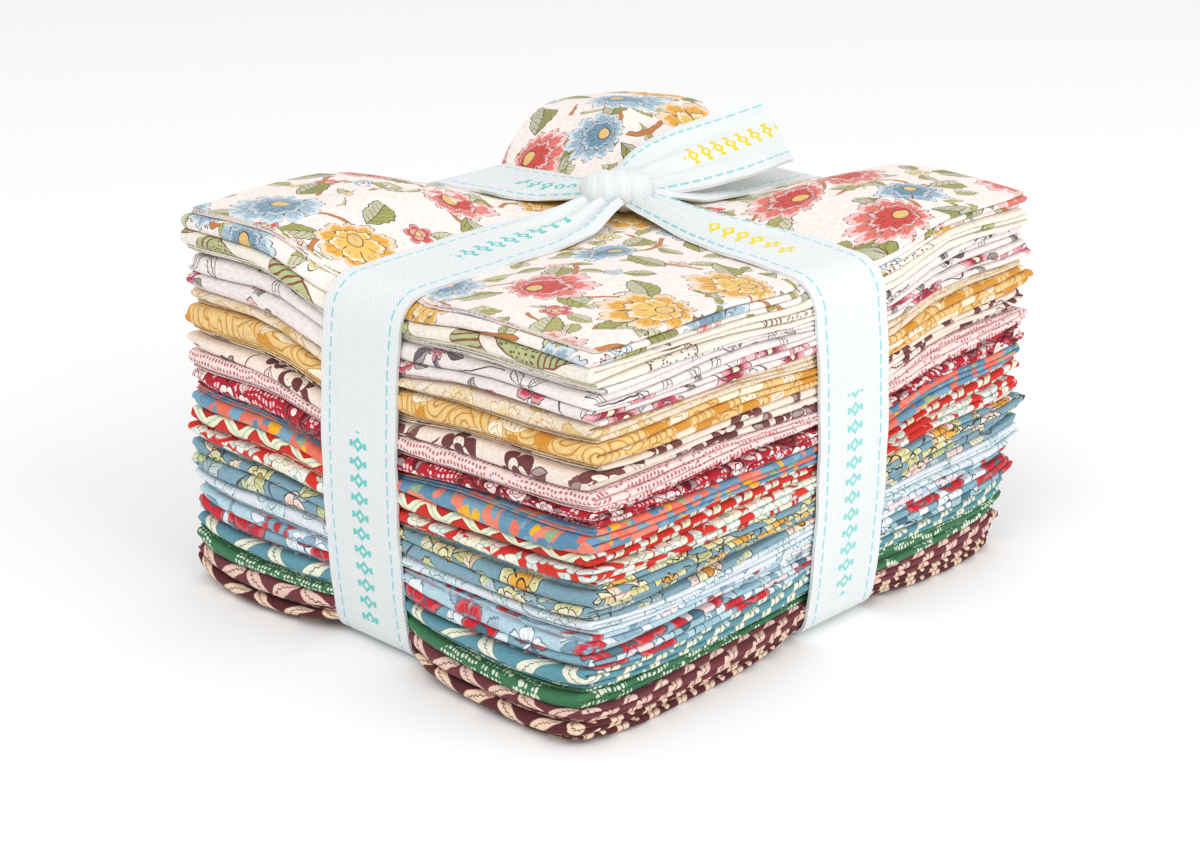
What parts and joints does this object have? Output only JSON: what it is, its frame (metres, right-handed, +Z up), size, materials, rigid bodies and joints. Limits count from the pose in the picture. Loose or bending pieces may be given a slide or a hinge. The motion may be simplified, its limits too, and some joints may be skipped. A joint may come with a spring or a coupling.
{
  "type": "fat quarter bundle",
  "caption": "Square-cornered stack of folded printed cotton cuts, tied crosswise with a woven tape that is knotted on top and has one free end.",
  "frame": {"origin": "middle of the bounding box's underside, on the surface that the bundle rests on", "axes": "+X along the folded length of the cuts, +Y along their folded width, +Z up through the stack"},
  "size_m": [0.1612, 0.14, 0.1064],
  "materials": {
    "ivory_floral": "matt printed quilting cotton",
    "ringed_leaf": "matt printed quilting cotton",
    "dark_sprig": "matt printed quilting cotton",
    "red_flower": "matt printed quilting cotton",
    "tan_line": "matt printed quilting cotton",
    "ochre_scroll": "matt printed quilting cotton",
    "plum_blossom": "matt printed quilting cotton",
    "rose_dot": "matt printed quilting cotton",
    "crimson_blossom": "matt printed quilting cotton",
    "slate_coral": "matt printed quilting cotton",
    "red_scallop": "matt printed quilting cotton",
    "red_blossom": "matt printed quilting cotton",
    "slate_leaf": "matt printed quilting cotton",
    "slate_bud": "matt printed quilting cotton",
    "pale_outline": "matt printed quilting cotton",
    "sky_bloom_upper": "matt printed quilting cotton",
    "sky_bloom_lower": "matt printed quilting cotton",
    "teal_leaf_band": "matt printed quilting cotton",
    "green_frond": "matt printed quilting cotton",
    "plum_band_upper": "matt printed quilting cotton",
    "plum_band_lower": "matt printed quilting cotton",
    "tape": "matt woven cotton twill tape"
  },
  "bodies": {
    "root": {"cut_01_ivory_floral": "ivory_floral", "cut_02_ringed_leaf": "ringed_leaf", "cut_03_dark_sprig": "dark_sprig", "cut_04_red_flower": "red_flower", "cut_05_tan_line": "tan_line", "cut_06_ochre_scroll": "ochre_scroll", "cut_07_plum_blossom": "plum_blossom", "cut_08_rose_dot": "rose_dot", "cut_09_crimson_blossom": "crimson_blossom", "cut_10_slate_coral": "slate_coral", "cut_11_red_scallop": "red_scallop", "cut_12_red_blossom": "red_blossom", "cut_13_slate_leaf": "slate_leaf", "cut_14_slate_bud": "slate_bud", "cut_15_pale_outline": "pale_outline", "cut_16_sky_bloom_upper": "sky_bloom_upper", "cut_17_sky_bloom_lower": "sky_bloom_lower", "cut_18_teal_leaf_band": "teal_leaf_band", "cut_19_green_frond": "green_frond", "cut_20_plum_band_upper": "plum_band_upper", "cut_21_plum_band_lower": "plum_band_lower", "tape": "tape"}
  },
  "joints": []
}
